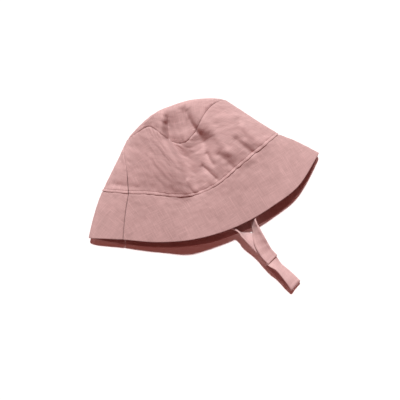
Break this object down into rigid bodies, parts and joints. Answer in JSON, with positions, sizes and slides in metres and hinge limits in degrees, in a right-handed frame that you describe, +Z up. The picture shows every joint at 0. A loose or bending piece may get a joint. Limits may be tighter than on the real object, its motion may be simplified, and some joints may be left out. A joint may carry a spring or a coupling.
{
  "type": "baby sun hat",
  "caption": "Soft linen baby sun hat with round tip, sewn crown, flared brim and a closed chin strap, lying on its side with a folded-in crown.",
  "frame": {"origin": "on the floor, under the middle of the whole hat as it lies on its side", "axes": "+Z up, +Y along the hat from the brim to the crown's tip, +X across the brim"},
  "size_m": [0.28, 0.2446, 0.0636],
  "materials": {
    "crown_linen": "matt woven linen",
    "brim_linen": "matt woven linen",
    "strap_linen": "matt stitched linen tape"
  },
  "bodies": {
    "root": {"crown_tip": "crown_linen", "crown_front": "crown_linen", "crown_back": "crown_linen", "brim_front": "brim_linen", "brim_back": "brim_linen", "strap_long": "strap_linen", "strap_short": "strap_linen"}
  },
  "joints": []
}
